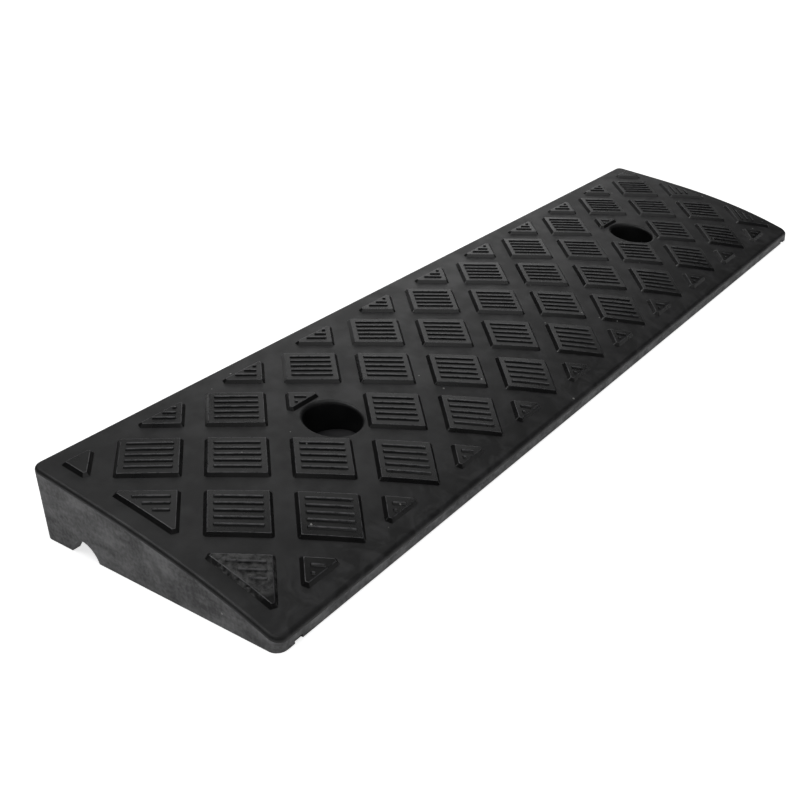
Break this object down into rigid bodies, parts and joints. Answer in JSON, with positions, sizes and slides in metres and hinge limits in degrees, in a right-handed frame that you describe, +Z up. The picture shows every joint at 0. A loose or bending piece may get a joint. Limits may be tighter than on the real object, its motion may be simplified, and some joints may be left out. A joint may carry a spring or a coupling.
{
  "type": "kerb ramp",
  "caption": "Black rubber wedge that bridges a kerb for wheels, with a raised diamond tread, counterbored anchor holes and a hollow ribbed underside.",
  "frame": {"origin": "middle of the footprint, on the ground", "axes": "+X runs along the kerb, +Y from the road to the kerb, +Z up"},
  "size_m": [1, 0.25, 0.0661],
  "materials": {
    "black_rubber": "moulded, satin on the tread and dull on the walls",
    "dull_steel": "dull, with a film of moulding residue"
  },
  "bodies": {
    "root": {"ramp_body": "black_rubber", "anchor_washer_left": "dull_steel", "anchor_washer_right": "dull_steel"}
  },
  "joints": []
}
